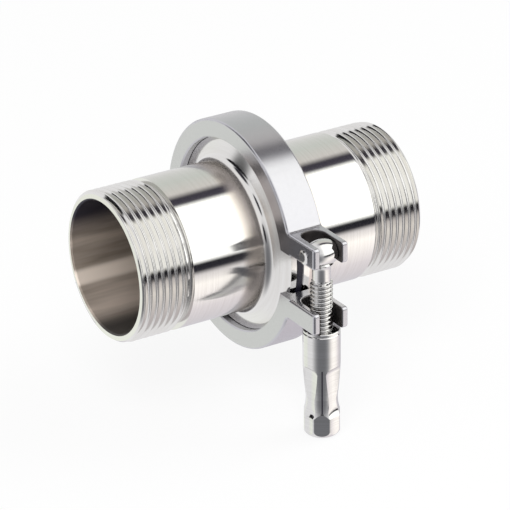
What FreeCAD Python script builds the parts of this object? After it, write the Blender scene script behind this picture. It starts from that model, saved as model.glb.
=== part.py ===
import FreeCAD, Part
import math
import os

from FreeCAD import Vector

# Sanitary clamp union with two male threaded ferrules, in millimetres.
# The pipe runs along X, the bolt stands along Z, and the bolt side faces -Y.
# The origin is on the pipe's axis, in the middle of the gasket.

# Threaded ferrules
pipe_r = 23.9
pipe_wall = 2.9
union_half_length = 50.2
thread_pitch = 2.309
thread_turns = 7.1
thread_relief_width = 1.3
thread_relief_depth = 0.7
end_chamfer = 1.3
end_chamfer_depth = 0.9
bore_chamfer = 0.5
flange_r = 32.0
flange_rim = 2.3
flange_edge = 0.3
bevel_deg = 20.0
neck_fillet = 2.6

# Gasket and its seat in the flange faces
gasket_thick = 2.0
gasket_inset = 0.2
bead_r = 1.45
bead_clearance = 0.08

# Ring of the clamp
ring_wall = 4.8
ring_width = 12.4
lip_overlap = 1.2
groove_floor_gap = 1.2
groove_gap = 0.15
ring_edge = 0.8
lip_edge = 0.4

# Forks at the bolt side
bolt_stand_off = 6.8
prong_end = 5.4
fork_thick = 6.9
upper_fork_low = 6.4
lower_fork_top = -8.3
slot_width = 7.8
slot_root_gap = 3.8
fork_tip_round = 1.0
fork_root_fillet = 1.6
slot_rim_round = 0.5

# Hinge at the far side from the bolt
hinge_pin_r = 2.0
knuckle_r = 4.2
tongue_width = 4.6
knuckle_side_gap = 0.3
knuckle_clearance = 0.35
knuckle_web_height = 12.0
knuckle_web_depth = 2.0
hinge_face_gap = 0.75
hinge_head_r = 2.9
hinge_head_height = 0.8

# Swing bolt, its pin and the fits between them
pivot_rise = 2.6
bolt_thread_r = 3.5
bolt_neck_r = 2.85
bolt_thread_start = 8.6
bolt_tip_gap = 1.35
eye_r = 4.3
eye_end_r = 3.5
eye_clearance = 0.2
eye_neck_fillet = 0.9
eye_neck_share = 0.72
bolt_pin_r = 1.75
bolt_pin_head_r = 2.25
bolt_pin_head_height = 0.55
head_side_share = 0.3
head_flat_share = 0.35
head_dome_height_share = 0.83
head_dome_r_share = 0.74
head_sink = 0.01
fixed_fit = 0.03
running_fit = 0.07

# Thrust washer and long nut
washer_gap = 0.6
washer_thick = 1.0
washer_edge = 0.2
nut_running_gap = 0.05
nut_r = 5.8
nut_length = 34.35
nut_barrel = 10.4
nut_top_edge = 0.3
nut_waist_r = 4.92
nut_waist_bow = 0.1
nut_waist_rise = 6.1
nut_flare_r = 5.15
nut_flare_rise = 2.8
nut_head_r = 6.0
nut_head = 6.7
nut_end_r = 4.7
nut_end_round = 2.2
nut_end_bulge_r = 0.9
nut_end_bulge_height = 0.95
nut_mouth_chamfer = 0.5
nut_flat_reach = 5.5
nut_flat_rise = 4.0
nut_tip_wall = 5.9
nut_bore_cone = 1.0
nut_turn_deg = -33.0
scoop_count = 4
scoop_r = 9.0
scoop_core_top = 4.35
scoop_core_low = 4.6
scoop_top_run = 2.6
scoop_core_head = 5.54
scoop_flare_run = 2.8
scoop_bend_in = 0.45
scoop_bend_share = 0.42

# How far a cutter runs past what it cuts
overshoot = 1.0

X_AXIS = Vector(1, 0, 0)
Z_AXIS = Vector(0, 0, 1)
ORIGIN = Vector(0, 0, 0)

bore_r = pipe_r - pipe_wall
gasket_r = flange_r - gasket_inset
bead_mid_r = (bore_r + gasket_r) / 2
ring_r = flange_r + ring_wall
ring_opening_r = flange_r - lip_overlap
hinge_reach = ring_r + knuckle_r
bolt_reach = ring_r + bolt_stand_off
fork_reach = bolt_reach + prong_end
slot_root_reach = bolt_reach - slot_root_gap
bolt_pivot_height = upper_fork_low + pivot_rise
half_width = ring_width / 2
bevel_slope = math.tan(math.radians(bevel_deg))
face_x = gasket_thick / 2
rim_x = face_x + flange_rim
groove_floor_r = flange_r + groove_floor_gap
thread_length = thread_pitch * thread_turns
thread_start_x = union_half_length - thread_length
slot_half = slot_width / 2
tongue_half = tongue_width / 2
eye_half = slot_half - eye_clearance
hinge_center = Vector(0, hinge_reach, 0)
pivot = Vector(0, -bolt_reach, bolt_pivot_height)
washer_top = lower_fork_top - fork_thick - washer_gap
nut_top = washer_top - washer_thick - nut_running_gap
nut_bottom = nut_top - nut_length
barrel_end = nut_top - nut_barrel
head_top = nut_bottom + nut_head
blind_end = nut_bottom + nut_tip_wall
bolt_end = blind_end + bolt_tip_gap
bolt_length = bolt_pivot_height - bolt_end


def line(a, b):
    return Part.LineSegment(a, b).toShape()


def arc(a, mid, b):
    return Part.Arc(a, mid, b).toShape()


def revolved(edges, center, axis):
    """Spin a closed outline a full turn about an axis."""
    face = Part.Face(Part.Wire(edges))
    return face.revolve(center, axis, 360)


def closed_outline(points):
    """Edges through the points and back to the first."""
    return [line(a, b) for a, b in zip(points, points[1:] + points[:1])]


def across(radius, x_from, x_to, center):
    """Cylinder along X between two places, centred on a point of the YZ plane."""
    base = Vector(x_from, center.y, center.z)
    return Part.makeCylinder(radius, x_to - x_from, base, X_AXIS)


def block(x_from, x_to, y_from, y_to, z_from, z_to):
    size = Vector(x_to - x_from, y_to - y_from, z_to - z_from)
    return Part.makeBox(size.x, size.y, size.z, Vector(x_from, y_from, z_from))


def edges_where(shape, test):
    return [edge for edge in shape.Edges if test(edge)]


def bevel_x(radius):
    """Place along the pipe of the flange's sloping back at a radius."""
    return rim_x + (flange_r - radius) * bevel_slope


def ferrule():
    """One ferrule on the +X side: flange, filleted neck, pipe and thread zone."""
    slope = math.radians(bevel_deg)
    fillet_r = pipe_r + neck_fillet * (1 - math.sin(slope))
    fillet_x = bevel_x(fillet_r)
    center = Vector(fillet_x + neck_fillet * math.cos(slope), pipe_r + neck_fillet, 0)
    # the fillet runs from the sloping back to its lowest point, on the pipe
    middle = (math.pi + slope + 1.5 * math.pi) / 2
    fillet_mid = center + Vector(math.cos(middle), math.sin(middle), 0) * neck_fillet
    seat_r = bead_r + bead_clearance
    relief_end = thread_start_x
    relief_start = relief_end - thread_relief_width
    relief_mid = Vector((relief_start + relief_end) / 2, pipe_r - thread_relief_depth, 0)
    end_x = union_half_length
    edges = [
        line(Vector(face_x, bore_r, 0), Vector(face_x, bead_mid_r - seat_r, 0)),
        arc(Vector(face_x, bead_mid_r - seat_r, 0),
            Vector(face_x + seat_r, bead_mid_r, 0),
            Vector(face_x, bead_mid_r + seat_r, 0)),
        line(Vector(face_x, bead_mid_r + seat_r, 0), Vector(face_x, flange_r - flange_edge, 0)),
        line(Vector(face_x, flange_r - flange_edge, 0), Vector(face_x + flange_edge, flange_r, 0)),
        line(Vector(face_x + flange_edge, flange_r, 0), Vector(rim_x, flange_r, 0)),
        line(Vector(rim_x, flange_r, 0), Vector(fillet_x, fillet_r, 0)),
        arc(Vector(fillet_x, fillet_r, 0), fillet_mid, Vector(center.x, pipe_r, 0)),
        line(Vector(center.x, pipe_r, 0), Vector(relief_start, pipe_r, 0)),
        arc(Vector(relief_start, pipe_r, 0), relief_mid, Vector(relief_end, pipe_r, 0)),
        line(Vector(relief_end, pipe_r, 0), Vector(end_x - end_chamfer, pipe_r, 0)),
        line(Vector(end_x - end_chamfer, pipe_r, 0), Vector(end_x, pipe_r - end_chamfer_depth, 0)),
        line(Vector(end_x, pipe_r - end_chamfer_depth, 0), Vector(end_x, bore_r + bore_chamfer, 0)),
        line(Vector(end_x, bore_r + bore_chamfer, 0), Vector(end_x - bore_chamfer, bore_r, 0)),
        line(Vector(end_x - bore_chamfer, bore_r, 0), Vector(face_x, bore_r, 0)),
    ]
    return revolved(edges, ORIGIN, X_AXIS)


def gasket():
    """Flat ring with a round bead on each face that sits in the flange's groove."""
    near = -face_x
    edges = [
        line(Vector(near, bore_r, 0), Vector(near, bead_mid_r - bead_r, 0)),
        arc(Vector(near, bead_mid_r - bead_r, 0),
            Vector(near - bead_r, bead_mid_r, 0),
            Vector(near, bead_mid_r + bead_r, 0)),
        line(Vector(near, bead_mid_r + bead_r, 0), Vector(near, gasket_r, 0)),
        line(Vector(near, gasket_r, 0), Vector(face_x, gasket_r, 0)),
        line(Vector(face_x, gasket_r, 0), Vector(face_x, bead_mid_r + bead_r, 0)),
        arc(Vector(face_x, bead_mid_r + bead_r, 0),
            Vector(face_x + bead_r, bead_mid_r, 0),
            Vector(face_x, bead_mid_r - bead_r, 0)),
        line(Vector(face_x, bead_mid_r - bead_r, 0), Vector(face_x, bore_r, 0)),
        line(Vector(face_x, bore_r, 0), Vector(near, bore_r, 0)),
    ]
    return revolved(edges, ORIGIN, X_AXIS)


def ring_hollow():
    """What the ring leaves free: the opening between its lips and the flanges' groove."""
    past = half_width + overshoot
    lip_x = bevel_x(ring_opening_r) + groove_gap
    floor_x = bevel_x(groove_floor_r) + groove_gap
    points = [
        Vector(-past, 0, 0),
        Vector(-past, ring_opening_r + lip_edge + overshoot, 0),
        Vector(-half_width + lip_edge, ring_opening_r, 0),
        Vector(-lip_x, ring_opening_r, 0),
        Vector(-floor_x, groove_floor_r, 0),
        Vector(floor_x, groove_floor_r, 0),
        Vector(lip_x, ring_opening_r, 0),
        Vector(half_width - lip_edge, ring_opening_r, 0),
        Vector(past, ring_opening_r + lip_edge + overshoot, 0),
        Vector(past, 0, 0),
    ]
    return revolved(closed_outline(points), ORIGIN, X_AXIS)


def fork_outline(low, top):
    """Fork as a slab that runs from inside the ring to the rounded prong tips."""
    slab = block(-half_width, half_width, -fork_reach, -ring_opening_r, low, top)
    tips = edges_where(slab, lambda e: is_along_x(e) and abs(e.CenterOfMass.y + fork_reach) < 0.01)
    return slab.makeFillet(fork_tip_round, tips)


def is_along_x(edge):
    """True for a straight edge that crosses the ring's whole width."""
    start = edge.Vertexes[0].Point
    end = edge.Vertexes[-1].Point
    return abs(abs(start.x - end.x) - ring_width) < 0.01


def on_flank(edge):
    """True for an edge that lies in one of the ring's two flat sides."""
    box = edge.BoundBox
    flat = box.XLength < 0.001
    return flat and abs(abs(box.XMin) - half_width) < 0.001


def slot_rims(body, low, high):
    """Edges where the slot's walls and its round root meet the fork's two flat faces."""
    rims = []
    for edge in body.Edges:
        box = edge.BoundBox
        flat = box.ZLength < 0.001 and min(abs(box.ZMin - low), abs(box.ZMin - high)) < 0.001
        inside = max(abs(box.XMin), abs(box.XMax)) < slot_half + 0.001 and box.YMax < 0
        walled = box.YLength > 1 and box.YMin < -slot_root_reach + 0.001
        if flat and inside and walled:
            rims.append(edge)
    return rims


def knuckle_web(side):
    """Slab that ties a knuckle to the ring, tangent to the knuckle's outer side.

    side is 1 for the upper half and -1 for the lower half.
    """
    foot = Vector(0, math.sqrt(ring_r ** 2 - knuckle_web_height ** 2), side * knuckle_web_height)
    to_foot = foot - hinge_center
    angle = math.atan2(to_foot.z, to_foot.y) - side * math.acos(knuckle_r / to_foot.Length)
    touch = hinge_center + Vector(0, math.cos(angle), math.sin(angle)) * knuckle_r
    root_r = ring_r - knuckle_web_depth
    inner = Vector(0, root_r, 0)
    inner_foot = foot * (root_r / ring_r)
    wire = Part.Wire(closed_outline([hinge_center, touch, foot, inner_foot, inner]))
    slab = Part.Face(wire).extrude(X_AXIS * ring_width)
    slab.translate(Vector(-half_width, 0, 0))
    return slab


def clamp_half(side, fork_low, knuckle_spans, free_spans):
    """One half of the clamp: ring sector, fork at the bolt side, knuckles at the hinge side.

    side is 1 for the upper half and -1 for the lower half. The knuckle spans are the
    stretches along X that this half's knuckles fill, the free spans those of its mate.
    """
    fork_high = fork_low + fork_thick
    face = fork_low if side > 0 else fork_high
    body = across(ring_r, -half_width, half_width, ORIGIN)
    body = body.fuse(fork_outline(fork_low, fork_high)).removeSplitter()
    corner_z = fork_high if side > 0 else fork_low
    root = edges_where(body, lambda e: is_along_x(e)
                       and abs(e.CenterOfMass.z - corner_z) < 0.01
                       and abs(e.CenterOfMass.y + math.sqrt(ring_r ** 2 - corner_z ** 2)) < 0.05)
    body = body.makeFillet(fork_root_fillet, root)
    body = body.makeFillet(ring_edge, edges_where(body, on_flank))

    past = ring_r + fork_reach
    if side > 0:
        other_side = block(-past, past, -past, 0, -past, face)
        other_side = other_side.fuse(block(-past, past, 0, past, -past, hinge_face_gap))
    else:
        other_side = block(-past, past, -past, 0, face, past)
        other_side = other_side.fuse(block(-past, past, 0, past, -hinge_face_gap, past))
    body = body.cut(other_side)

    web = knuckle_web(side)
    for start, end in free_spans:
        web = web.cut(block(start, end, 0, past, -past, past))
        body = body.cut(across(knuckle_r + knuckle_clearance, start, end, hinge_center))
    body = body.fuse(web)
    for start, end in knuckle_spans:
        body = body.fuse(across(knuckle_r, start, end, hinge_center))
    body = body.cut(ring_hollow())

    slot_low = fork_low - overshoot
    slot_high = fork_high + overshoot
    slot_base = Vector(0, -slot_root_reach, slot_low)
    body = body.cut(Part.makeCylinder(slot_half, slot_high - slot_low, slot_base, Z_AXIS))
    body = body.cut(block(-slot_half, slot_half, -past, -slot_root_reach, slot_low, slot_high))
    body = body.removeSplitter()
    return body.makeFillet(slot_rim_round, slot_rims(body, fork_low, fork_high))


def upper_clamp_half():
    past = half_width + overshoot
    tongue = [(-tongue_half, tongue_half)]
    beside = [(-past, -tongue_half), (tongue_half, past)]
    half = clamp_half(1, upper_fork_low, tongue, beside)
    half = half.cut(across(hinge_pin_r + running_fit, -half_width, half_width, hinge_center))
    return half.cut(across(bolt_pin_r + fixed_fit, -past, past, pivot))


def lower_clamp_half():
    past = half_width + overshoot
    inner = tongue_half + knuckle_side_gap
    lugs = [(-half_width, -inner), (inner, half_width)]
    half = clamp_half(-1, lower_fork_top - fork_thick, lugs, [(-inner, inner)])
    return half.cut(across(hinge_pin_r + fixed_fit, -past, past, hinge_center))


def rivet(center, radius, head_r, head_height, seat_gap):
    """Pin along X with a domed head outside each flank of the ring."""
    seat = half_width + seat_gap
    sunk = seat - head_sink
    rim = seat + head_height * head_side_share
    tip = seat + head_height
    flat_r = head_r * head_flat_share
    pin = across(radius, -seat, seat, ORIGIN)
    for side in (-1, 1):
        points = [
            Vector(side * sunk, 0, 0),
            Vector(side * sunk, radius, 0),
            Vector(side * seat, radius, 0),
            Vector(side * seat, head_r, 0),
            Vector(side * rim, head_r, 0),
            Vector(side * tip, flat_r, 0),
            Vector(side * tip, 0, 0),
        ]
        dome_x = seat + head_height * head_dome_height_share
        dome = Vector(side * dome_x, head_r * head_dome_r_share, 0)
        edges = closed_outline(points)
        edges[4] = arc(points[4], dome, points[5])
        pin = pin.fuse(revolved(edges, ORIGIN, X_AXIS))
    pin = pin.removeSplitter()
    pin.translate(center)
    return pin


def swing_bolt():
    """Barrelled eye on the pin, a plain neck, and the thread zone below it."""
    eye_edges = [
        line(Vector(-eye_half, 0, 0), Vector(-eye_half, eye_end_r, 0)),
        arc(Vector(-eye_half, eye_end_r, 0), Vector(0, eye_r, 0), Vector(eye_half, eye_end_r, 0)),
        line(Vector(eye_half, eye_end_r, 0), Vector(eye_half, 0, 0)),
        line(Vector(eye_half, 0, 0), Vector(-eye_half, 0, 0)),
    ]
    eye = revolved(eye_edges, ORIGIN, X_AXIS)
    eye.translate(pivot)
    tip = bolt_thread_r - bolt_neck_r
    flare_r = bolt_neck_r + eye_neck_fillet
    flare_z = -eye_r * eye_neck_share
    shank_points = [
        Vector(0, 0, 0),
        Vector(flare_r, 0, flare_z),
        Vector(bolt_neck_r, 0, flare_z - 2 * eye_neck_fillet),
        Vector(bolt_neck_r, 0, -bolt_thread_start + tip),
        Vector(bolt_thread_r, 0, -bolt_thread_start),
        Vector(bolt_thread_r, 0, -bolt_length + tip),
        Vector(bolt_neck_r, 0, -bolt_length),
        Vector(0, 0, -bolt_length),
    ]
    shank = revolved(closed_outline(shank_points), ORIGIN, Z_AXIS)
    shank.translate(pivot)
    bolt = eye.fuse(shank)
    return bolt.cut(across(bolt_pin_r + running_fit, -half_width, half_width, pivot))


def nut_washer():
    """Thin ring between the lower fork and the nut."""
    inner = bolt_thread_r + running_fit
    low = washer_top - washer_thick
    points = [
        Vector(inner, 0, low),
        Vector(nut_r - washer_edge, 0, low),
        Vector(nut_r, 0, low + washer_edge),
        Vector(nut_r, 0, washer_top - washer_edge),
        Vector(nut_r - washer_edge, 0, washer_top),
        Vector(inner, 0, washer_top),
    ]
    washer = revolved(closed_outline(points), ORIGIN, Z_AXIS)
    washer.translate(Vector(0, -bolt_reach, 0))
    return washer


def scoop(turn_deg):
    """Cutter for one finger scoop, from the nut's barrel down past its end."""
    axis_reach = scoop_core_top + scoop_r
    depth_low = axis_reach - scoop_core_low
    depth_head = axis_reach - scoop_core_head
    mouth = axis_reach - nut_r - overshoot
    top = barrel_end
    low = nut_bottom - overshoot
    flare_top = head_top + scoop_flare_run
    # the scoop's floor bends outwards above the head and runs straight down beside it
    rise = depth_low - depth_head
    bend_r = (rise ** 2 + scoop_flare_run ** 2) / (2 * rise)
    half_turn = math.asin(scoop_flare_run / bend_r) / 2
    flare_x = axis_reach - depth_low + bend_r * (1 - math.cos(half_turn))
    flare_mid = Vector(flare_x, 0, flare_top - bend_r * math.sin(half_turn))
    points = [
        Vector(axis_reach, 0, top),
        Vector(axis_reach - mouth, 0, top),
        Vector(axis_reach - scoop_r, 0, top - scoop_top_run),
        Vector(axis_reach - depth_low, 0, flare_top),
        Vector(axis_reach - depth_head, 0, head_top),
        Vector(axis_reach - depth_head, 0, low),
        Vector(axis_reach, 0, low),
    ]
    bend_x = axis_reach - scoop_r + scoop_bend_in
    bend = Vector(bend_x, 0, top - scoop_top_run * scoop_bend_share)
    edges = closed_outline(points)
    edges[1] = arc(points[1], bend, points[2])
    edges[3] = arc(points[3], flare_mid, points[4])
    cutter = revolved(edges, Vector(axis_reach, 0, 0), Z_AXIS)
    cutter.rotate(ORIGIN, Z_AXIS, turn_deg)
    return cutter


def grip_nut():
    """Long nut: plain barrel, scooped grip, and a flared head with four flats."""
    thread_r = bolt_thread_r + running_fit
    top_rim = nut_r - nut_top_edge
    cone_top = blind_end + nut_bore_cone
    end_top = nut_bottom + nut_end_round
    grip_low = head_top + nut_waist_rise
    waist_mid = Vector((nut_r + nut_waist_r) / 2 + nut_waist_bow, 0, (barrel_end + grip_low) / 2)
    flare_mid = Vector(nut_flare_r, 0, head_top + nut_flare_rise)
    end_mid = Vector(nut_end_r + nut_end_bulge_r, 0, nut_bottom + nut_end_bulge_height)
    profile = [
        line(Vector(thread_r + nut_mouth_chamfer, 0, nut_top), Vector(top_rim, 0, nut_top)),
        line(Vector(top_rim, 0, nut_top), Vector(nut_r, 0, nut_top - nut_top_edge)),
        line(Vector(nut_r, 0, nut_top - nut_top_edge), Vector(nut_r, 0, barrel_end)),
        arc(Vector(nut_r, 0, barrel_end), waist_mid, Vector(nut_waist_r, 0, grip_low)),
        arc(Vector(nut_waist_r, 0, grip_low), flare_mid, Vector(nut_head_r, 0, head_top)),
        line(Vector(nut_head_r, 0, head_top), Vector(nut_head_r, 0, end_top)),
        arc(Vector(nut_head_r, 0, end_top), end_mid, Vector(nut_end_r, 0, nut_bottom)),
        line(Vector(nut_end_r, 0, nut_bottom), Vector(0, 0, nut_bottom)),
        line(Vector(0, 0, nut_bottom), Vector(0, 0, blind_end)),
        line(Vector(0, 0, blind_end), Vector(thread_r, 0, cone_top)),
        line(Vector(thread_r, 0, cone_top), Vector(thread_r, 0, nut_top - nut_mouth_chamfer)),
        line(Vector(thread_r, 0, nut_top - nut_mouth_chamfer),
             Vector(thread_r + nut_mouth_chamfer, 0, nut_top)),
    ]
    nut = revolved(profile, ORIGIN, Z_AXIS)
    step = 360 / scoop_count
    for index in range(scoop_count):
        nut = nut.cut(scoop((index + 0.5) * step - 90))
        flat = block(-nut_head_r, nut_head_r, -2 * nut_head_r, -nut_flat_reach,
                     nut_bottom - overshoot, head_top + nut_flat_rise)
        flat.rotate(ORIGIN, Z_AXIS, index * step)
        nut = nut.cut(flat)
    nut.rotate(ORIGIN, Z_AXIS, nut_turn_deg)
    nut.translate(Vector(0, -bolt_reach, 0))
    return nut.removeSplitter()


def main():
    far_adapter = ferrule()
    near_adapter = far_adapter.copy()
    near_adapter.rotate(ORIGIN, Z_AXIS, 180)
    parts = {
        "near_adapter": near_adapter,
        "far_adapter": far_adapter,
        "gasket": gasket(),
        "upper_clamp_half": upper_clamp_half(),
        "lower_clamp_half": lower_clamp_half(),
        "hinge_pin": rivet(hinge_center, hinge_pin_r, hinge_head_r, hinge_head_height, fixed_fit),
        "bolt_pin": rivet(pivot, bolt_pin_r, bolt_pin_head_r, bolt_pin_head_height, fixed_fit),
        "swing_bolt": swing_bolt(),
        "nut_washer": nut_washer(),
        "grip_nut": grip_nut(),
    }
    os.makedirs("parts", exist_ok=True)
    for name, shape in parts.items():
        solids = shape.Solids
        print(name, "solids", len(solids), "valid", shape.isValid(), "volume", round(shape.Volume, 1))
        shape.exportStep("parts/" + name + ".step")


main()
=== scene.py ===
"""Looks for a sanitary clamp union that joins two male threaded ferrules.

X runs along the pipe, Z stands along the swing bolt, and the bolt side faces -Y.
Sizes are written in millimetres and turned to metres where a mesh is finished.
"""

import logging
import math
from abc import ABC, abstractmethod
from collections.abc import Iterable
from dataclasses import dataclass, field
from enum import Enum

import bmesh
import bpy
from mathutils import Matrix, Vector


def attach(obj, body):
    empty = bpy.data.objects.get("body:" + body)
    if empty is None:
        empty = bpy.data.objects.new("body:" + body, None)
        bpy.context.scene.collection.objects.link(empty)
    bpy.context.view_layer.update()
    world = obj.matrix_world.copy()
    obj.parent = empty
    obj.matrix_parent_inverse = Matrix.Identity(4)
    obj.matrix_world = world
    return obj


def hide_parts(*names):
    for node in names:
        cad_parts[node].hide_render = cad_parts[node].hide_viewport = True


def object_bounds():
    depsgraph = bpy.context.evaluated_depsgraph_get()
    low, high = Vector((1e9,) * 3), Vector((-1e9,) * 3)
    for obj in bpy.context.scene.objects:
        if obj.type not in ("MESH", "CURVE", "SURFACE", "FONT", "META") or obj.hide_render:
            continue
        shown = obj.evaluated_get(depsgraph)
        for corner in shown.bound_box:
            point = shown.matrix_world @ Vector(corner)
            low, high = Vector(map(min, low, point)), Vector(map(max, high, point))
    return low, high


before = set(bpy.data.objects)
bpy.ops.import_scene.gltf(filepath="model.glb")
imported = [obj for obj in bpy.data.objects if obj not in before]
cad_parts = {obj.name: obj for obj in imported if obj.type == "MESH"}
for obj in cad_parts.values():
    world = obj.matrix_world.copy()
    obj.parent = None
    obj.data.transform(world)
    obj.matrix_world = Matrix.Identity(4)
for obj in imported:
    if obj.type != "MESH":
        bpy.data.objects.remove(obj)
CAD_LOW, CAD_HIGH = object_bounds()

logging.basicConfig(level=logging.INFO, format="%(message)s")
log = logging.getLogger("clamp_union")

MM = 0.001
# Faces that meet at more than this are shaded as a corner.
SHARP_DEG = 40.0
# Vertices nearer to each other than this are one.
MERGE_MM = 2e-3

# Noise seldom leaves these values, so they are stretched to 0 and 1.
NOISE_LOW, NOISE_HIGH = 0.32, 0.68
# A Mix node's colour sockets share their names with those for numbers, so they go by number.
MIX_FIRST, MIX_SECOND, MIX_RESULT = 6, 7, 2
# Anisotropy is turned in whole turns.
QUARTER_TURN = 0.25

Station = tuple[float, float]
Colour = tuple[float, float, float, float]
Loop = list[bmesh.types.BMEdge]
Socket = bpy.types.NodeSocket
Tree = bpy.types.NodeTree


class Body(Enum):
    """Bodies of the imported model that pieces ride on."""

    LINE = "line"
    BOLT = "bolt"
    NUT = "nut"


class Slot(Enum):
    """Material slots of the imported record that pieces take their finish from."""

    FERRULE = "ferrule_steel"
    FASTENER = "fastener_steel"


class TurnedOn(Enum):
    """Axes that steel is turned on, as the tangents of Blender name them."""

    PIPE = "X"
    BOLT = "Z"


def linear(hex_colour: str) -> Colour:
    """Turn an sRGB hex colour to the linear values that Blender works in.

    Args:
        hex_colour: Colour as "#rrggbb".

    Returns:
        Linear red, green and blue, and an alpha of 1.
    """
    values = [int(hex_colour[i : i + 2], 16) / 255 for i in (1, 3, 5)]
    red, green, blue = [v / 12.92 if v <= 0.04045 else ((v + 0.055) / 1.055) ** 2.4 for v in values]
    return red, green, blue, 1.0


def add_node(
    tree: Tree, kind: str, inputs: dict[str | int, object] | None = None, **settings: object
) -> bpy.types.Node:
    """Add a node, set its properties, and link or set its inputs.

    Args:
        tree: Node tree that gets the node.
        kind: Blender's name of the node's type.
        inputs: Socket name or number to a value, or to an output socket to link.
        **settings: Properties of the node.

    Returns:
        The new node.
    """
    node = tree.nodes.new(kind)
    for name, value in settings.items():
        setattr(node, name, value)
    for name, value in (inputs or {}).items():
        socket = node.inputs[name]
        if isinstance(value, Socket):
            tree.links.new(value, socket)
        else:
            socket.default_value = value
    return node


def blank_material(name: str) -> tuple[bpy.types.Material, Tree]:
    """Make a material whose node tree is empty.

    Args:
        name: Name of the material.

    Returns:
        The material and its node tree.
    """
    made = bpy.data.materials.new(name)
    made.use_nodes = True
    made.node_tree.nodes.clear()
    return made, made.node_tree


def arc(center: Station, radius: float, start_deg: float, end_deg: float, count: int) -> list[Station]:
    """Stations on an arc, both ends included.

    Args:
        center: Place along the axis, and distance from it.
        radius: Radius of the arc.
        start_deg: Angle of the first station, 0 along the axis and 90 away from it.
        end_deg: Angle of the last station.
        count: Number of steps between them.

    Returns:
        The stations in order.
    """
    stations = []
    for step in range(count + 1):
        turn = math.radians(start_deg + (end_deg - start_deg) * step / count)
        stations.append((center[0] + radius * math.cos(turn), center[1] + radius * math.sin(turn)))
    return stations


@dataclass(frozen=True)
class Zone(ABC):
    """Part of a steel surface that looks different from the rest of it."""

    colour: str
    roughness: float

    @abstractmethod
    def cover(self, tree: Tree, place: Socket) -> Socket:
        """Share of the zone at each place.

        Args:
            tree: Node tree of the material.
            place: Socket with the place on the object in metres.

        Returns:
            A socket that is 1 in the zone and 0 outside it.
        """


@dataclass(frozen=True)
class HeatTint(Zone):
    """Brownish, duller band round the tube beside each neck."""

    middle_mm: float
    full_to_mm: float
    none_from_mm: float

    def cover(self, tree: Tree, place: Socket) -> Socket:
        """Share of the band, by the distance along the pipe from its middle.

        Args:
            tree: Node tree of the material.
            place: Socket with the place on the object in metres.

        Returns:
            A socket that is 1 in the band and 0 outside it.
        """
        axes = add_node(tree, "ShaderNodeSeparateXYZ", {0: place})
        along = add_node(tree, "ShaderNodeMath", {0: axes.outputs["X"]}, operation="ABSOLUTE")
        inputs = {0: along.outputs[0], 1: self.middle_mm * MM}
        past = add_node(tree, "ShaderNodeMath", inputs, operation="SUBTRACT")
        away = add_node(tree, "ShaderNodeMath", {0: past.outputs[0]}, operation="ABSOLUTE")
        inputs = {
            "Value": away.outputs[0],
            "From Min": self.none_from_mm * MM,
            "From Max": self.full_to_mm * MM,
        }
        return add_node(tree, "ShaderNodeMapRange", inputs, interpolation_type="SMOOTHSTEP").outputs["Result"]


@dataclass(frozen=True)
class CastSkin(Zone):
    """Rougher unpolished skin inside the forks' slots, darkened there with painted shade."""

    root_mm: float
    full_to_mm: float
    none_from_mm: float

    def cover(self, tree: Tree, place: Socket) -> Socket:
        """Share of the skin and its painted shade, by the distance from the middle of the slots.

        Args:
            tree: Node tree of the material.
            place: Socket with the place on the object in metres.

        Returns:
            A socket that is 1 in the slots and 0 outside them.
        """
        axes = add_node(tree, "ShaderNodeSeparateXYZ", {0: place})
        inputs = {0: axes.outputs["Y"], 1: self.root_mm * MM}
        behind = add_node(tree, "ShaderNodeMath", inputs, operation="ADD")
        past_root = add_node(tree, "ShaderNodeMath", {0: behind.outputs[0], 1: 0.0}, operation="MAXIMUM")
        across = add_node(tree, "ShaderNodeCombineXYZ", {"X": axes.outputs["X"], "Y": past_root.outputs[0]})
        away = add_node(tree, "ShaderNodeVectorMath", {0: across.outputs[0]}, operation="LENGTH")
        inputs = {
            "Value": away.outputs["Value"],
            "From Min": self.none_from_mm * MM,
            "From Max": self.full_to_mm * MM,
        }
        return add_node(tree, "ShaderNodeMapRange", inputs, interpolation_type="SMOOTHSTEP").outputs["Result"]


@dataclass(frozen=True)
class DrawnStreak(Zone):
    """Lengthwise band painted inside the tube: painted shade where it is dark, a painted reflection where it
    is light.
    """

    turned_deg: float
    half_deg: float
    edge_deg: float

    def cover(self, tree: Tree, place: Socket) -> Socket:
        """Share of the band, by the angle about the pipe from overhead towards the back.

        Args:
            tree: Node tree of the material.
            place: Socket with the place on the object in metres.

        Returns:
            A socket that is 1 in the band and 0 outside it.
        """
        turned = math.radians(self.turned_deg)
        across = add_node(tree, "ShaderNodeVectorMath", {0: place, 1: (0, 1, 1)}, operation="MULTIPLY")
        outward = add_node(tree, "ShaderNodeVectorMath", {0: across.outputs[0]}, operation="NORMALIZE")
        inputs = {0: outward.outputs[0], 1: (0, math.sin(turned), math.cos(turned))}
        near = add_node(tree, "ShaderNodeVectorMath", inputs, operation="DOT_PRODUCT")
        inputs = {
            "Value": near.outputs["Value"],
            "From Min": math.cos(math.radians(self.half_deg + self.edge_deg)),
            "From Max": math.cos(math.radians(self.half_deg)),
        }
        return add_node(tree, "ShaderNodeMapRange", inputs, interpolation_type="SMOOTHSTEP").outputs["Result"]


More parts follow.
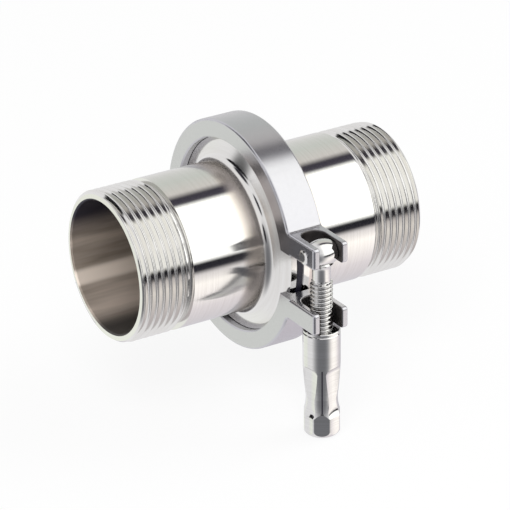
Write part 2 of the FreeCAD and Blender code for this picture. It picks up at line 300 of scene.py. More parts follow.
@dataclass(frozen=True)
class SteelFinish:
    """Stainless steel as one way of working leaves it.

    Where it is turned, the tool's lines run round an axis and stretch reflections along it.
    """

    name: str
    colour: str
    worn_colour: str
    roughness: float
    roughness_spread: float
    grain_mm: tuple[float, float, float]
    relief_mm: float
    grain_detail: float = 3.0
    grain_roughness: float = 0.6
    zones: tuple[Zone, ...] = ()
    turned_on: TurnedOn | None = None
    stretch: float = 0.0
    metal: float = 1.0

    def material(self) -> bpy.types.Material:
        """Build the material with its grain in colour, gloss and relief, and its zones.

        Returns:
            The material.
        """
        made, tree = blank_material(self.name)
        place = add_node(tree, "ShaderNodeTexCoord").outputs["Object"]
        scale = [1 / (size * MM) for size in self.grain_mm]
        space = add_node(tree, "ShaderNodeMapping", {"Vector": place, "Scale": scale})
        inputs = {
            "Vector": space.outputs["Vector"],
            "Scale": 1.0,
            "Detail": self.grain_detail,
            "Roughness": self.grain_roughness,
        }
        grain = add_node(tree, "ShaderNodeTexNoise", inputs).outputs["Fac"]
        inputs = {"Value": grain, "From Min": NOISE_LOW, "From Max": NOISE_HIGH}
        worn = add_node(tree, "ShaderNodeMapRange", inputs).outputs["Result"]
        least, most = self.roughness - self.roughness_spread, self.roughness + self.roughness_spread
        roughness = add_node(tree, "ShaderNodeMix", {"Factor": worn, "A": least, "B": most}).outputs["Result"]
        inputs = {"Factor": worn, MIX_FIRST: linear(self.colour), MIX_SECOND: linear(self.worn_colour)}
        colour = add_node(tree, "ShaderNodeMix", inputs, data_type="RGBA").outputs[MIX_RESULT]
        for zone in self.zones:
            cover = zone.cover(tree, place)
            inputs = {"Factor": cover, MIX_FIRST: colour, MIX_SECOND: linear(zone.colour)}
            colour = add_node(tree, "ShaderNodeMix", inputs, data_type="RGBA").outputs[MIX_RESULT]
            inputs = {"Factor": cover, "A": roughness, "B": zone.roughness}
            roughness = add_node(tree, "ShaderNodeMix", inputs).outputs["Result"]
        relief = add_node(tree, "ShaderNodeBump", {"Height": grain, "Distance": self.relief_mm * MM})
        inputs = {
            "Base Color": colour,
            "Metallic": self.metal,
            "Roughness": roughness,
            "Normal": relief.outputs["Normal"],
        }
        if self.turned_on:
            lines = add_node(tree, "ShaderNodeTangent", direction_type="RADIAL", axis=self.turned_on.value)
            inputs["Tangent"] = lines.outputs["Tangent"]
            inputs["Anisotropic"] = self.stretch
            inputs["Anisotropic Rotation"] = QUARTER_TURN
        surface = add_node(tree, "ShaderNodeBsdfPrincipled", inputs)
        add_node(tree, "ShaderNodeOutputMaterial", {"Surface": surface.outputs["BSDF"]})
        return made


@dataclass(frozen=True)
class RubberFinish:
    """Moulded elastomer: matt, with the fine skin of the mould."""

    name: str
    colour: str
    worn_colour: str
    roughness: float
    skin_mm: float
    relief_mm: float
    skin_detail: float = 2.0

    def material(self) -> bpy.types.Material:
        """Build the material with a fine mottled skin.

        Returns:
            The material.
        """
        made, tree = blank_material(self.name)
        place = add_node(tree, "ShaderNodeTexCoord").outputs["Object"]
        inputs = {"Vector": place, "Scale": 1 / (self.skin_mm * MM), "Detail": self.skin_detail}
        skin = add_node(tree, "ShaderNodeTexNoise", inputs).outputs["Fac"]
        inputs = {"Factor": skin, MIX_FIRST: linear(self.colour), MIX_SECOND: linear(self.worn_colour)}
        tone = add_node(tree, "ShaderNodeMix", inputs, data_type="RGBA")
        relief = add_node(tree, "ShaderNodeBump", {"Height": skin, "Distance": self.relief_mm * MM})
        inputs = {
            "Base Color": tone.outputs[MIX_RESULT],
            "Roughness": self.roughness,
            "Normal": relief.outputs["Normal"],
        }
        surface = add_node(tree, "ShaderNodeBsdfPrincipled", inputs)
        add_node(tree, "ShaderNodeOutputMaterial", {"Surface": surface.outputs["BSDF"]})
        return made


# Stainless tube, turned and buffed: a near mirror that stretches reflections along the pipe. The tool's
# lines are drawn 0.45 mm wide, coarser than the real feed, so that they just show.
TURNED_STEEL = SteelFinish(
    name="stainless_steel_turned_and_buffed",
    colour="#d6d5d3",
    worn_colour="#cfcdca",
    roughness=0.1,
    roughness_spread=0.015,
    grain_mm=(0.45, 30.0, 30.0),
    relief_mm=0.0006,
    zones=(HeatTint("#d4cbc2", 0.18, middle_mm=11.0, full_to_mm=1.0, none_from_mm=5.0),),
    turned_on=TurnedOn.PIPE,
    stretch=0.85,
)

# Stainless tube as drawn and pickled: a brownish satin that scatters light. Its soft dark bands along the
# tube are painted shade, and its narrow light band is a painted reflection.
PICKLED_STEEL = SteelFinish(
    name="stainless_steel_drawn_and_pickled",
    colour="#d2c3b6",
    worn_colour="#8a7f74",
    roughness=0.55,
    roughness_spread=0.04,
    grain_mm=(60.0, 6.0, 6.0),
    relief_mm=0.01,
    zones=(
        # Painted shade on the upper and the lower wall, and a painted reflection in the narrow light band.
        DrawnStreak("#2c2a38", 0.55, turned_deg=25.0, half_deg=32.0, edge_deg=34.0),
        DrawnStreak("#45423f", 0.55, turned_deg=200.0, half_deg=22.0, edge_deg=26.0),
        DrawnStreak("#fff1e3", 0.5, turned_deg=121.0, half_deg=2.5, edge_deg=6.0),
    ),
    metal=0.45,
)

# Stainless investment casting, tumbled: soft broad reflections on a slightly uneven skin. Inside the slots
# the skin is rougher, and it is painted dark as shade.
CAST_STEEL = SteelFinish(
    name="stainless_steel_cast_and_tumbled",
    colour="#bab9bd",
    worn_colour="#b8b7bb",
    roughness=0.25,
    roughness_spread=0.01,
    grain_mm=(1.2, 1.2, 1.2),
    relief_mm=0.0015,
    # Painted shade: the slots' skin is darkened where shade falls between the prongs.
    zones=(CastSkin("#5c5857", 0.5, root_mm=39.8, full_to_mm=3.95, none_from_mm=4.35),),
)

# Stainless forging where its dies met and the polishing wheel missed it: a thin, dull, dark line.
SEAM_STEEL = SteelFinish(
    name="stainless_steel_forging_seam",
    colour="#524d5a",
    worn_colour="#47434d",
    roughness=0.4,
    roughness_spread=0.03,
    grain_mm=(1.0, 1.0, 1.0),
    relief_mm=0.0,
)

# Stainless bar, machined: bright, with reflections stretched along the bolt. The tool's lines are drawn
# 0.4 mm wide, coarser than the real feed, so that they just show.
BAR_STEEL = SteelFinish(
    name="stainless_steel_machined_bar",
    colour="#d3d2d1",
    worn_colour="#cac9c7",
    roughness=0.1,
    roughness_spread=0.02,
    grain_mm=(20.0, 20.0, 0.4),
    relief_mm=0.0006,
    turned_on=TurnedOn.BOLT,
    stretch=0.7,
)

# Elastomer, moulded: nearly black with a blue cast, and matt enough to kill the reflections. The
# mould's skin is drawn 0.5 mm coarse, so that it shows.
SEAL_RUBBER = RubberFinish(
    name="elastomer_moulded_seal",
    colour="#1f1d2b",
    worn_colour="#2a2838",
    roughness=0.5,
    skin_mm=0.5,
    relief_mm=0.01,
)


@dataclass(frozen=True)
class ThreadForm:
    """Right handed thread on the Z axis, in millimetres: straight flanks, rounded crests and roots."""

    crest_r: float
    root_r: float
    flank_deg: float
    pitch: float
    start: float
    end: float
    run_in: float
    end_chamfer: float
    end_chamfer_depth: float

    def height(self, aside: float) -> float:
        """Height over the root.

        Args:
            aside: Distance along the axis from the nearest crest.

        Returns:
            The height of the crest's round, the flank or the root's round there.
        """
        depth = self.crest_r - self.root_r
        flank = math.radians(self.flank_deg)
        sharp = self.pitch / 2 / math.tan(flank)
        round_r = (sharp - depth) / 2 / (1 / math.sin(flank) - 1)
        to_root = self.pitch / 2 - aside
        if aside < round_r * math.cos(flank):
            return depth - round_r + math.sqrt(round_r**2 - aside**2)
        if to_root < round_r * math.cos(flank):
            return round_r - math.sqrt(round_r**2 - to_root**2)
        return to_root / math.tan(flank) - (sharp - depth) / 2

    def radius(self, along: float, turn: float) -> float:
        """Surface radius of the thread.

        Args:
            along: Place on the axis.
            turn: Angle about the axis in radians.

        Returns:
            The radius there, after the run-in, which swells smoothly, and the end chamfer.
        """
        turns = along / self.pitch - turn / math.tau
        height = self.height(abs(turns - round(turns)) * self.pitch)
        share = min(1.0, max(0.0, (along - self.start) / self.run_in))
        height *= share * share * (3 - 2 * share)
        past = max(0.0, along - (self.end - self.end_chamfer)) / self.end_chamfer
        cone_r = self.crest_r - past * self.end_chamfer_depth
        return min(self.root_r + height, cone_r)


@dataclass
class TurnedMesh:
    """A turned piece, grown ring by ring about the Z axis, in millimetres."""

    columns: int
    mesh: bmesh.types.BMesh = field(default_factory=bmesh.new)

    def ring(self, station: Station) -> Loop:
        """Draw an open circle.

        Args:
            station: Place along the axis and radius of the circle.

        Returns:
            The edges of the circle.
        """
        made = bmesh.ops.create_circle(self.mesh, cap_ends=False, radius=station[1], segments=self.columns)
        for vert in made["verts"]:
            vert.co.z = station[0]
        return list({edge for vert in made["verts"] for edge in vert.link_edges})

    def walk(self, loop: Loop, stations: Iterable[Station], finish: int = 0) -> Loop:
        """Extrude a ring through stations.

        Args:
            loop: Edges of the ring to start from.
            stations: Place along the axis and radius of each further ring.
            finish: Number of the material on the faces that are made.

        Returns:
            The edges of the last ring.
        """
        for along, radius in stations:
            grown = bmesh.ops.extrude_edge_only(self.mesh, edges=loop)["geom"]
            verts = {item for item in grown if isinstance(item, bmesh.types.BMVert)}
            for vert in verts:
                outward = Vector((vert.co.x, vert.co.y)).normalized() * radius
                vert.co = (outward.x, outward.y, along)
            for face in grown:
                if isinstance(face, bmesh.types.BMFace):
                    face.material_index = finish
            edges = [item for item in grown if isinstance(item, bmesh.types.BMEdge)]
            loop = [edge for edge in edges if verts.issuperset(edge.verts)]
        return loop

    def thread(self, form: ThreadForm, rows_per_pitch: int) -> tuple[Loop, Loop]:
        """Sweep the thread as one screw in the empty mesh, and settle its two ends flat.

        The start is a plain circle at the root of the thread, so a wall that is walked
        back to that station closes when doubles are merged.

        Args:
            form: Shape of the thread.
            rows_per_pitch: Rows of faces along one pitch.

        Returns:
            Edges of the ring at the start and of the ring at the end.
        """
        step = form.pitch / rows_per_pitch
        low = form.start - form.pitch - step
        rows = math.ceil((form.end + step - low) / step)
        verts = [self.mesh.verts.new((form.crest_r, 0, low + step * row)) for row in range(rows + 1)]
        edges = [self.mesh.edges.new(pair) for pair in zip(verts, verts[1:])]
        bmesh.ops.spin(
            self.mesh,
            geom=verts + edges,
            cent=(0, 0, 0),
            axis=(0, 0, 1),
            dvec=(0, 0, form.pitch / self.columns),
            angle=math.tau,
            steps=self.columns,
            use_merge=False,
        )
        for vert in self.mesh.verts:
            along = min(form.end, max(form.start, vert.co.z))
            turn = math.atan2(vert.co.y, vert.co.x)
            radius = form.radius(along, turn)
            vert.co = (radius * math.cos(turn), radius * math.sin(turn), along)
        bmesh.ops.remove_doubles(self.mesh, verts=self.mesh.verts, dist=MERGE_MM)
        open_edges = [edge for edge in self.mesh.edges if edge.is_boundary]
        middle = (form.start + form.end) / 2
        first = [edge for edge in open_edges if edge.verts[0].co.z < middle]
        last = [edge for edge in open_edges if edge.verts[0].co.z > middle]
        return first, last

    def placed(self, placement: Matrix) -> bmesh.types.BMesh:
        """Merge, turn and move the finished mesh, and face it outwards.

        Args:
            placement: Turn and move from the Z axis to the mesh's place.

        Returns:
            The mesh.
        """
        bmesh.ops.remove_doubles(self.mesh, verts=self.mesh.verts, dist=MERGE_MM)
        bmesh.ops.transform(self.mesh, matrix=placement, verts=self.mesh.verts)
        bmesh.ops.recalc_face_normals(self.mesh, faces=self.mesh.faces)
        return self.mesh


def show(
    name: str,
    shapes: list[bmesh.types.BMesh],
    materials: list[bpy.types.Material],
    body: Body,
    replaced: str = "",
) -> bpy.types.Object:
    """Make one shown piece of finished shapes in millimetres.

    Args:
        name: Name of the piece.
        shapes: Meshes that make up the piece.
        materials: Materials of the piece, by the number that its faces give.
        body: Body that the piece rides on.
        replaced: CAD node that the piece stands for, or nothing for one that is added.

    Returns:
        The piece.
    """
    whole = bmesh.new()
    for shape in shapes:
        part = bpy.data.meshes.new(name)
        shape.to_mesh(part)
        shape.free()
        whole.from_mesh(part)
        bpy.data.meshes.remove(part)
    bmesh.ops.scale(whole, vec=(MM, MM, MM), verts=whole.verts)
    mesh = bpy.data.meshes.new(name)
    whole.to_mesh(mesh)
    whole.free()
    mesh.shade_smooth()
    mesh.set_sharp_from_angle(angle=math.radians(SHARP_DEG))
    for material in materials:
        mesh.materials.append(material)
    piece = bpy.data.objects.new(name, mesh)
    bpy.context.scene.collection.objects.link(piece)
    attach(piece, body.value)
    if replaced:
        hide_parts(replaced)
    log.info("%s: %d faces, rides on %s", name, len(mesh.polygons), body.value)
    return piece


def dress(node: str, material: bpy.types.Material) -> bpy.types.Object:
    """Give a CAD node that keeps its shape a material.

    Args:
        node: Name of the node.
        material: The material.

    Returns:
        The node's object.
    """
    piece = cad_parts[node]
    piece.data.materials.clear()
    piece.data.materials.append(material)
    log.info("%s: CAD shape kept, dressed in %s", node, material.name)
    return piece


@dataclass(frozen=True)
class ThreadedFerrules:
    """The two ferrules: flange, filleted neck, plain tube and a male pipe thread."""

    ends: tuple[tuple[str, float], ...] = (("far_adapter", 90.0), ("near_adapter", -90.0))
    tube_r: float = 23.9
    bore_r: float = 21.0
    half_length: float = 50.2
    face: float = 1.0
    flange_r: float = 32.0
    flange_rim: float = 2.3
    flange_edge: float = 0.3
    bevel_deg: float = 20.0
    neck_fillet: float = 2.6
    fillet_steps: int = 8
    seat_mid_r: float = 26.4
    seat_r: float = 1.53
    seat_steps: int = 10
    pitch: float = 2.309
    turns: float = 7.1
    thread_depth: float = 1.478
    flank_deg: float = 27.5
    run_in_turns: float = 0.5
    relief_width: float = 1.3
    relief_chamfer: float = 0.45
    end_chamfer: float = 1.3
    end_chamfer_depth: float = 0.9
    bore_chamfer: float = 0.5
    columns: int = 160
    rows_per_pitch: int = 24

    def thread_form(self) -> ThreadForm:
        """Pipe thread from the relief groove to the chamfered end.

        Returns:
            The thread's shape.
        """
        return ThreadForm(
            crest_r=self.tube_r,
            root_r=self.tube_r - self.thread_depth,
            flank_deg=self.flank_deg,
            pitch=self.pitch,
            start=self.half_length - self.pitch * self.turns,
            end=self.half_length,
            run_in=self.pitch * self.run_in_turns,
            end_chamfer=self.end_chamfer,
            end_chamfer_depth=self.end_chamfer_depth,
        )

    def inside(self) -> list[Station]:
        """Stations from the threaded end down the bore to the flange's face."""
        end_face = (self.half_length, self.bore_r + self.bore_chamfer)
        return [end_face, (self.half_length - self.bore_chamfer, self.bore_r), (self.face, self.bore_r)]

    def flange(self) -> list[Station]:
        """Stations over the seat's groove, the rim, the sloping back and the neck's fillet.

        Returns:
            The stations in order.
        """
        slope = math.radians(self.bevel_deg)
        edge = self.flange_r - self.flange_edge
        rim = self.face + self.flange_rim
        fillet_r = self.tube_r + self.neck_fillet * (1 - math.sin(slope))
        fillet_x = rim + (self.flange_r - fillet_r) * math.tan(slope)
        center = (fillet_x + self.neck_fillet * math.cos(slope), self.tube_r + self.neck_fillet)
        seat = arc((self.face, self.seat_mid_r), self.seat_r, -90, 90, self.seat_steps)
        rim_line = [(self.face, edge), (self.face + self.flange_edge, self.flange_r), (rim, self.flange_r)]
        return seat + rim_line + arc(center, self.neck_fillet, 180 + self.bevel_deg, 270, self.fillet_steps)

    def relief(self, form: ThreadForm) -> list[Station]:
        """Stations of the plain tube's end and of the relief groove before the thread."""
        groove = form.start - self.relief_width
        return [(groove, self.tube_r), (groove + self.relief_chamfer, form.root_r), (form.start, form.root_r)]

    def build(self, outside: bpy.types.Material, bore: bpy.types.Material) -> None:
        """Build the ferrule once for each end of the union.

        Args:
            outside: Material of the flange, the tube and the thread.
            bore: Material of the bore.
        """
        form = self.thread_form()
        for node, turn_deg in self.ends:
            turned = TurnedMesh(self.columns)
            _, threaded_end = turned.thread(form, self.rows_per_pitch)
            end_face, *wall = self.inside()
            edge = turned.walk(threaded_end, [end_face])
            turned.walk(turned.walk(edge, wall, finish=1), self.flange() + self.relief(form))
            placement = Matrix.Rotation(math.radians(turn_deg), 4, "Y")
            piece = node.replace("adapter", "threaded_ferrule")
            show(piece, [turned.placed(placement)], [outside, bore], Body.LINE, node)


@dataclass(frozen=True)
class SwingBolt:
    """Bolt with a barrelled eye, a plain neck and a machine thread.

    The neck flares where it leaves the eye, at a share of the eye's radius from the pin, and
    ends within the eye, just short of the pin's hole.
    """

    reach: float = 43.6
    pivot_height: float = 9.0
    eye_half: float = 3.7
    eye_r: float = 4.3
    eye_end_r: float = 3.5
    eye_steps: int = 12
    hole_r: float = 1.82
    hole_wall: float = 0.3
    root_share: float = 0.72
    neck_r: float = 2.85
    flare: float = 0.9
    flare_length: float = 1.8
    flare_waist: float = 0.3
    thread_r: float = 3.5
    thread_depth: float = 0.74
    flank_deg: float = 30.0
    pitch: float = 1.35
    run_in_turns: float = 0.7
    thread_start: float = 8.6
    start_chamfer: float = 0.5
    end_chamfer: float = 0.9
    end_chamfer_depth: float = 0.7
    length: float = 52.95
    columns: int = 64
    rows_per_pitch: int = 16

    def pivot(self) -> Matrix:
        """Move from the origin to the pin that the bolt swings on."""
        return Matrix.Translation((0, -self.reach, self.pivot_height))

    def shank(self) -> bmesh.types.BMesh:
        """Flared neck and threaded shank, hanging below the pivot.

        Returns:
            The mesh in its place.
        """
        form = ThreadForm(
            crest_r=self.thread_r,
            root_r=self.thread_r - self.thread_depth,
            flank_deg=self.flank_deg,
            pitch=self.pitch,
            start=self.thread_start,
            end=self.length,
            run_in=self.pitch * self.run_in_turns,
            end_chamfer=self.end_chamfer,
            end_chamfer_depth=self.end_chamfer_depth,
        )
        turned = TurnedMesh(self.columns)
        first, last = turned.thread(form, self.rows_per_pitch)
        turned.walk(last, [(self.length, 0.0)])
        root = self.eye_r * self.root_share
        top = self.hole_r + self.hole_wall
        neck = [
            (self.thread_start - self.start_chamfer, self.neck_r),
            (root + self.flare_length, self.neck_r),
            (root + self.flare_length / 2, self.neck_r + self.flare * self.flare_waist),
            (root, self.neck_r + self.flare),
            (top, self.neck_r),
            (top, 0.0),
        ]
        turned.walk(first, neck)
        return turned.placed(self.pivot() @ Matrix.Rotation(math.pi, 4, "X"))

    def eye(self) -> bmesh.types.BMesh:
        """Barrelled eye with its pin hole, across the fork.

        Returns:
            The mesh in its place.
        """
        turned = TurnedMesh(self.columns)
        rise = self.eye_r - self.eye_end_r
        crown_r = (self.eye_half**2 + rise**2) / (2 * rise)
        half_deg = math.degrees(math.asin(self.eye_half / crown_r))
        center = (0.0, self.eye_r - crown_r)
        start = turned.ring((-self.eye_half, self.hole_r))
        crown = arc(center, crown_r, 90 + half_deg, 90 - half_deg, self.eye_steps)
        turned.walk(start, crown + [(self.eye_half, self.hole_r), (-self.eye_half, self.hole_r)])
        return turned.placed(self.pivot() @ Matrix.Rotation(math.pi / 2, 4, "Y"))

    def build(self, material: bpy.types.Material) -> None:
        """Build the bolt in place of the CAD node."""
        shapes = [self.shank(), self.eye()]
        show("threaded_swing_bolt", shapes, [material], Body.BOLT, "swing_bolt")


@dataclass(frozen=True)
class ClampBody:
    """The two cast halves and the pins that hold them."""

    halves: tuple[str, ...] = ("upper_clamp_half", "lower_clamp_half")
    pins: tuple[str, ...] = ("hinge_pin", "bolt_pin")

    def build(self, cast: bpy.types.Material, bar: bpy.types.Material) -> None:
        """Dress the halves and the pins.

        Args:
            cast: Material of the halves.
            bar: Material of the pins.
        """
        for node in self.halves:
            dress(node, cast)
        for node in self.pins:
            dress(node, bar)


@dataclass(frozen=True)
class NutAndWasher:
    """The long scooped nut and the thrust washer above it.

    The seam stands in one plane through the nut's axis, turned from the pipe's direction.
    """

    nut: str = "grip_nut"
    washer: str = "nut_washer"
    axis: tuple[float, float, float] = (0.0, -43.6, 0.0)
    seam_turned_deg: float = -121.6
    seam_half: float = 0.2
    seam_height: float = 0.05
    seam_low: float = -42.6
    seam_high: float = -28.0
    skin_from_r: float = 4.0

    def seam(self, nut: bpy.types.Object) -> bmesh.types.BMesh:
        """Thin ridge along the nut's grip, where the halves of its forging die met.

        Args:
            nut: The nut, whose surface the ridge follows.

        Returns:
            The ridge on both sides of the nut, in millimetres.
        """
        mesh = bmesh.new()
        mesh.from_mesh(nut.data)
        bmesh.ops.scale(mesh, vec=(1 / MM, 1 / MM, 1 / MM), verts=mesh.verts)
        bmesh.ops.remove_doubles(mesh, verts=mesh.verts, dist=MERGE_MM)
        turned = math.radians(self.seam_turned_deg)
        aside = Vector((-math.sin(turned), math.cos(turned), 0))
        axis = Vector(self.axis)
        for place, outward in (
            (axis + aside * self.seam_half, aside),
            (axis - aside * self.seam_half, -aside),
            (Vector((0, 0, self.seam_high)), Vector((0, 0, 1))),
            (Vector((0, 0, self.seam_low)), Vector((0, 0, -1))),
        ):
            whole = mesh.verts[:] + mesh.edges[:] + mesh.faces[:]
            bmesh.ops.bisect_plane(mesh, geom=whole, plane_co=place, plane_no=outward, clear_outer=True)
        inner = [
            face for face in mesh.faces if (face.calc_center_median() - axis).xy.length < self.skin_from_r
        ]
        bmesh.ops.delete(mesh, geom=inner, context="FACES")
        mesh.normal_update()
        for vert in mesh.verts:
            vert.co -= vert.normal * self.seam_height
        bmesh.ops.solidify(mesh, geom=mesh.faces[:], thickness=-2 * self.seam_height)
        bmesh.ops.recalc_face_normals(mesh, faces=mesh.faces)
        return mesh

    def build(self, material: bpy.types.Material, seam: bpy.types.Material) -> None:
        """Dress the nut and the washer, and lay the die's parting line along the grip.

        Args:
            material: Material of the nut and the washer.
            seam: Material of the parting line.
        """
        ridge = self.seam(dress(self.nut, material))
        dress(self.washer, material)
        show("nut_parting_line", [ridge], [seam], Body.NUT)


@dataclass(frozen=True)
class StudioCard:
    """Shade of the studio at an angle about the pipe, from which it fades to the next.

    The angle is 0 behind the object, 90 overhead, 180 in front and 270 below.
    """

    at_deg: float
    shade: str
    gain: float = 1.0


@dataclass(frozen=True)
class StudioFlag:
    """Soft round patch of the studio, by the direction of its middle."""

    toward: tuple[float, float, float]
    half_deg: float
    edge_deg: float
    shade: str


@dataclass(frozen=True)
class StudioLamp:
    """Square soft lamp that looks at the object, with its place and size in metres."""

    name: str
    place: tuple[float, float, float]
    size: float
    watts: float


@dataclass(frozen=True)
class Studio:
    """White sweep, long soft boxes and dark flags along the pipe, and two soft lamps."""

    cards: tuple[StudioCard, ...] = (
        StudioCard(0, "#cdcdcc"),
        StudioCard(40, "#c4c8c3"),
        StudioCard(68, "#cdcac6"),
        StudioCard(78, "#38353f"),
        StudioCard(88, "#45424c"),
        StudioCard(95, "#fcfdf9", 1.35),
        StudioCard(178, "#fdfefc", 1.35),
        StudioCard(184, "#1f1f25"),
        StudioCard(193, "#2a2930"),
        StudioCard(200, "#c8c4c4", 1.3),
        StudioCard(215, "#e4e0dc", 1.45),
        StudioCard(260, "#bdb8bb", 1.45),
        StudioCard(320, "#b2b0b5", 1.1),
    )
    # Directions with an X below left_to see one even card, and from bands_from on only the others.
    left_shade: str = "#f8f8fa"
    left_gain: float = 0.8
    left_to: float = 0.0
    bands_from: float = 0.3
    flags: tuple[StudioFlag, ...] = (
        StudioFlag((-0.475, 0.773, -0.421), 8.0, 18.0, "#e6e9e1"),
        StudioFlag((-0.475, -0.773, -0.421), 4.0, 56.0, "#6e6f73"),
        StudioFlag((-0.49, -0.81, 0.22), 9.0, 6.0, "#1c1b20"),
        StudioFlag((-0.71, 0.64, 0.28), 12.0, 3.0, "#121216"),
        StudioFlag((-0.62, 0.40, 0.66), 10.0, 8.0, "#2a2930"),
        StudioFlag((-0.80, -0.22, 0.52), 9.0, 6.0, "#2a2930"),
    )
    # Steel gives back about this share of the cards' light, and they are lit to make up for it.
    steel_shade: float = 0.68
    fill: str = "#e8e8e8"
    fill_strength: float = 0.75
    sweep: str = "#ffffff"
    paper: str = "#f4f4f4"
    # Share of plain white that the camera sees in the paper; the rest is lit and takes the shadow.
    paper_lit: float = 0.85
    paper_half_m: float = 4.0
    paper_drop_mm: float = 0.3
    lamps: tuple[StudioLamp, ...] = (
        StudioLamp("key", (-0.9, -1.1, 1.4), size=1.2, watts=22.0),
        StudioLamp("side", (1.3, -0.3, 0.9), size=1.0, watts=8.0),
    )

    def banded(self, tree: Tree, axes: bpy.types.Node) -> Socket:
        """Lay the cards round the pipe as one ramp.

        Args:
            tree: Node tree of the world.
            axes: Node with the parts of the direction that is looked in.

        Returns:
            The socket with the cards' colour.
        """
        inputs = {0: axes.outputs["Z"], 1: axes.outputs["Y"]}
        angle = add_node(tree, "ShaderNodeMath", inputs, operation="ARCTAN2")
        turns = add_node(tree, "ShaderNodeMath", {0: angle.outputs[0], 1: math.tau}, operation="DIVIDE")
        share = add_node(tree, "ShaderNodeMath", {0: turns.outputs[0], 1: 1.0, 2: 0.0}, operation="WRAP")
        bands = add_node(tree, "ShaderNodeValToRGB", {0: share.outputs[0]})
        ramp = bands.color_ramp
        for index, card in enumerate(self.cards):
            stop = ramp.elements[0] if index == 0 else ramp.elements.new(card.at_deg / 360)
            stop.position = card.at_deg / 360
            stop.color = [value * card.gain for value in linear(card.shade)]
        ramp.elements[-1].position = 1.0
        ramp.elements[-1].color = linear(self.cards[0].shade)
        return bands.outputs["Color"]

    @staticmethod
    def flagged(tree: Tree, way: Socket, seen: Socket, flag: StudioFlag) -> Socket:
        """Lay a flag over what is seen so far.

        Args:
            tree: Node tree of the world.
            way: Socket with the direction that is looked in.
            seen: Socket with the colour seen so far.
            flag: The flag to lay over it.

        Returns:
            The socket with the new colour.
        """
        inputs = {0: way, 1: Vector(flag.toward).normalized()}
        near = add_node(tree, "ShaderNodeVectorMath", inputs, operation="DOT_PRODUCT")
        inputs = {
            "Value": near.outputs["Value"],
            "From Min": math.cos(math.radians(flag.half_deg + flag.edge_deg)),
            "From Max": math.cos(math.radians(flag.half_deg)),
        }
        cover = add_node(tree, "ShaderNodeMapRange", inputs, interpolation_type="SMOOTHSTEP")
        inputs = {"Factor": cover.outputs["Result"], MIX_FIRST: seen, MIX_SECOND: linear(flag.shade)}
        return add_node(tree, "ShaderNodeMix", inputs, data_type="RGBA").outputs[MIX_RESULT]

    def build_world(self) -> None:
        """Build the world: white to the camera, cards to the steel, even fill to the rest."""
        world = bpy.data.worlds.new("studio")
        bpy.context.scene.world = world
        world.use_nodes = True
        tree = world.node_tree
        tree.nodes.clear()
        way = add_node(tree, "ShaderNodeTexCoord").outputs["Generated"]
        axes = add_node(tree, "ShaderNodeSeparateXYZ", {0: way})
        bands = self.banded(tree, axes)
        inputs = {"Value": axes.outputs["X"], "From Min": self.left_to, "From Max": self.bands_from}
        side = add_node(tree, "ShaderNodeMapRange", inputs, interpolation_type="SMOOTHSTEP")
        left = [value * self.left_gain for value in linear(self.left_shade)]
        inputs = {"Factor": side.outputs["Result"], MIX_FIRST: left, MIX_SECOND: bands}
        seen = add_node(tree, "ShaderNodeMix", inputs, data_type="RGBA").outputs[MIX_RESULT]
        for flag in self.flags:
            seen = self.flagged(tree, way, seen, flag)
        inputs = {"Color": seen, "Strength": 1 / self.steel_shade}
        steel_light = add_node(tree, "ShaderNodeBackground", inputs)
        inputs = {"Color": linear(self.fill), "Strength": self.fill_strength}
        fill_light = add_node(tree, "ShaderNodeBackground", inputs)
        white = add_node(tree, "ShaderNodeBackground", {"Color": linear(self.sweep), "Strength": 1.0})
        path = add_node(tree, "ShaderNodeLightPath")
        inputs = {0: path.outputs["Is Glossy Ray"], 1: fill_light.outputs[0], 2: steel_light.outputs[0]}
        gloss = add_node(tree, "ShaderNodeMixShader", inputs)
        inputs = {0: path.outputs["Is Camera Ray"], 1: gloss.outputs[0], 2: white.outputs[0]}
        whole = add_node(tree, "ShaderNodeMixShader", inputs)
        add_node(tree, "ShaderNodeOutputWorld", {"Surface": whole.outputs[0]})

    def lay_sweep(self) -> None:
        """Lay the white paper sweep just under the object; it keeps a faint shadow."""
        mesh = bmesh.new()
        bmesh.ops.create_grid(mesh, x_segments=1, y_segments=1, size=self.paper_half_m)
        drop = (0, 0, CAD_LOW.z - self.paper_drop_mm * MM)
        bmesh.ops.translate(mesh, vec=drop, verts=mesh.verts)
        data = bpy.data.meshes.new("sweep")
        mesh.to_mesh(data)
        mesh.free()
        sweep = bpy.data.objects.new("sweep", data)
        bpy.context.scene.collection.objects.link(sweep)
        sweep.visible_glossy = False
        material, tree = blank_material("paper_sweep")
        path = add_node(tree, "ShaderNodeLightPath")
        inputs = {0: path.outputs["Is Camera Ray"], 1: self.paper_lit}
        share = add_node(tree, "ShaderNodeMath", inputs, operation="MULTIPLY")
        paper = add_node(tree, "ShaderNodeBsdfDiffuse", {"Color": linear(self.paper)})
        white = add_node(tree, "ShaderNodeEmission", {"Color": linear(self.sweep), "Strength": 1.0})
        inputs = {0: share.outputs[0], 1: paper.outputs[0], 2: white.outputs[0]}
        both = add_node(tree, "ShaderNodeMixShader", inputs)
        add_node(tree, "ShaderNodeOutputMaterial", {"Surface": both.outputs[0]})
        data.materials.append(material)

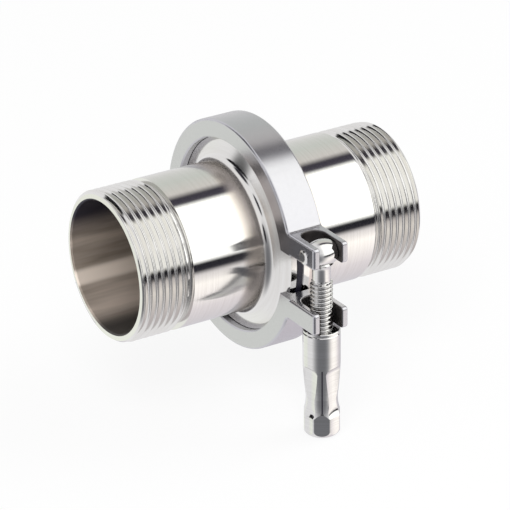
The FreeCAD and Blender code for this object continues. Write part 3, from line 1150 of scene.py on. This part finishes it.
    def hang_lamps(self) -> None:
        """Hang a broad key lamp above the front left and a weaker one at the right."""
        for lamp in self.lamps:
            light = bpy.data.lights.new(lamp.name, "AREA")
            light.size = lamp.size
            light.energy = lamp.watts
            hung = bpy.data.objects.new(lamp.name, light)
            hung.location = lamp.place
            hung.rotation_euler = (-Vector(lamp.place)).to_track_quat("-Z", "Y").to_euler()
            hung.visible_glossy = False
            bpy.context.scene.collection.objects.link(hung)

    def build(self) -> None:
        """Build the world, the sweep and the lamps."""
        self.build_world()
        self.lay_sweep()
        self.hang_lamps()


@dataclass(frozen=True)
class PhotoCamera:
    """Camera at the photograph's place, from a fit to the ends of the pipe and the ring."""

    azimuth_deg: float = -31.6
    elevation_deg: float = 24.87
    roll_deg: float = -0.75
    distance_m: float = 1.0
    lens_mm: float = 227.1
    sensor_mm: float = 36.0
    clip_end_m: float = 50.0
    aim_right_mm: float = 3.01
    aim_up_mm: float = -7.85

    def build(self) -> None:
        """Make the camera and give it to the scene."""
        azimuth, elevation = math.radians(self.azimuth_deg), math.radians(self.elevation_deg)
        level = math.cos(elevation)
        back = Vector((math.sin(azimuth) * level, -math.cos(azimuth) * level, math.sin(elevation)))
        right = Vector((math.cos(azimuth), math.sin(azimuth), 0))
        up = back.cross(right)
        aim = (right * self.aim_right_mm + up * self.aim_up_mm) * MM
        roll = math.radians(self.roll_deg)
        turned_right = right * math.cos(roll) + up * math.sin(roll)
        turned_up = up * math.cos(roll) - right * math.sin(roll)
        data = bpy.data.cameras.new("photo_camera")
        data.sensor_width = self.sensor_mm
        data.lens = self.lens_mm
        data.clip_end = self.clip_end_m
        camera = bpy.data.objects.new("photo_camera", data)
        rotation = Matrix((turned_right, turned_up, back)).transposed().to_4x4()
        camera.matrix_world = Matrix.Translation(aim + back * self.distance_m) @ rotation
        bpy.context.scene.collection.objects.link(camera)
        bpy.context.scene.camera = camera


def main() -> None:
    """Build the pieces, the camera and the studio."""
    bar = BAR_STEEL.material()
    ThreadedFerrules().build(TURNED_STEEL.material(), PICKLED_STEEL.material())
    SwingBolt().build(bar)
    ClampBody().build(CAST_STEEL.material(), bar)
    NutAndWasher().build(bar, SEAM_STEEL.material())
    dress("gasket", SEAL_RUBBER.material())
    PhotoCamera().build()
    Studio().build()
    bpy.context.scene.view_settings.view_transform = "Standard"


if __name__ == "__main__":
    main()
